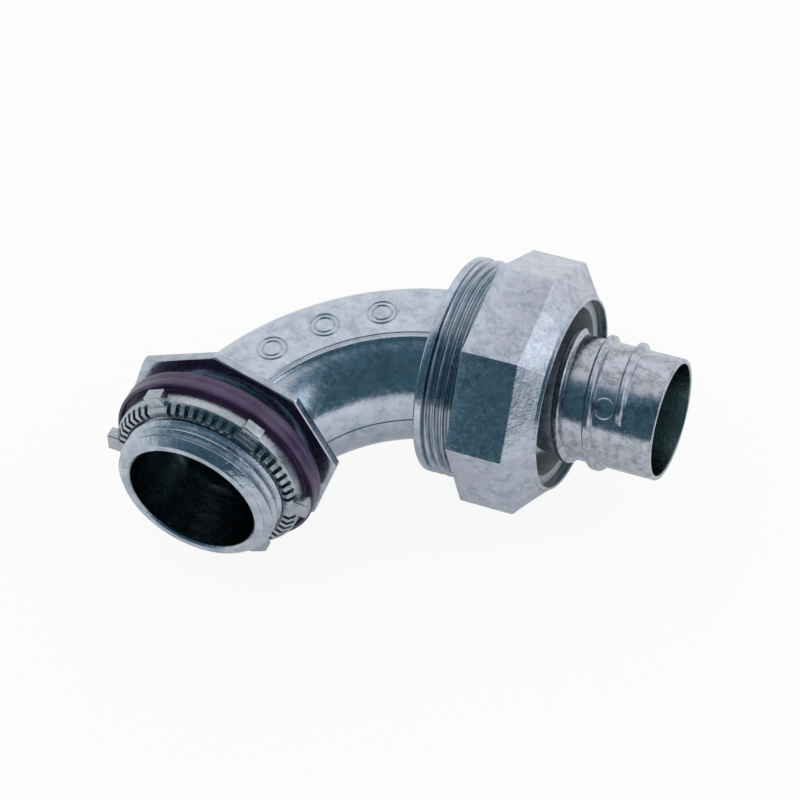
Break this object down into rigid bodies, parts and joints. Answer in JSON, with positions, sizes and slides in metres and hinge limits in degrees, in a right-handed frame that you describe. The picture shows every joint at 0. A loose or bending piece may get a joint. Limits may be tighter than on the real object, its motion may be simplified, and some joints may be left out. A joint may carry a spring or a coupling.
{
  "type": "liquidtight conduit connector",
  "caption": "Right-angle zinc connector that fastens liquidtight flexible conduit to a box: locknut and sealing ring at one end, gland nut and ferrule at the other.",
  "frame": {"origin": "on the hub axis, in the flange face that seats against the box wall", "axes": "-Y along the hub, out of the flange; +X along the conduit, out of the ferrule; +Z across the bend's plane"},
  "size_m": [0.1028, 0.0755, 0.051],
  "materials": {
    "zinc_casting": "as-cast zinc, satin with a faint mottle, darker in the hollows",
    "zinc_nut": "as-cast zinc, satin flats with brighter edges",
    "zinc_locknut": "as-cast zinc, slightly rougher",
    "zinc_ferrule": "as-cast zinc, smooth and a little glossier",
    "seal_plastic": "dark purple, soft sheen",
    "ring_plastic": "light grey, semi-gloss"
  },
  "bodies": {
    "elbow_body": {"elbow_body": "zinc_casting"},
    "sealing_ring": {"sealing_ring": "seal_plastic"},
    "locknut": {"locknut": "zinc_locknut"},
    "gland_ring": {"gland_ring": "ring_plastic"},
    "gland_nut": {"gland_nut": "zinc_nut"},
    "ferrule": {"ferrule": "zinc_ferrule"}
  },
  "joints": [
    {"name": "seal_slide", "type": "slide", "parent": "elbow_body", "child": "sealing_ring", "axis": [0, 1, 0], "range_m": [-0.0083, 0.0029]},
    {"name": "locknut_turn", "type": "hinge", "parent": "sealing_ring", "child": "locknut", "pos_m": [0, 0, 0], "axis": [0, 1, 0], "range_deg": [-1336, 468]},
    {"name": "ring_slide", "type": "slide", "parent": "elbow_body", "child": "gland_ring", "axis": [-1, 0, 0], "range_m": [-0.0053, 0.0037]},
    {"name": "gland_nut_turn", "type": "hinge", "parent": "gland_ring", "child": "gland_nut", "pos_m": [0, 0.033, 0], "axis": [-1, 0, 0], "range_deg": [-1032, 720]},
    {"name": "ferrule_turn", "type": "hinge", "parent": "elbow_body", "child": "ferrule", "pos_m": [0, 0.033, 0], "axis": [1, 0, 0], "continuous": true}
  ],
  "couplings": [
    {"joint": "seal_slide", "follows": "locknut_turn", "m_per_rad": 0.00035157},
    {"joint": "ring_slide", "follows": "gland_nut_turn", "m_per_rad": 0.00028871}
  ]
}
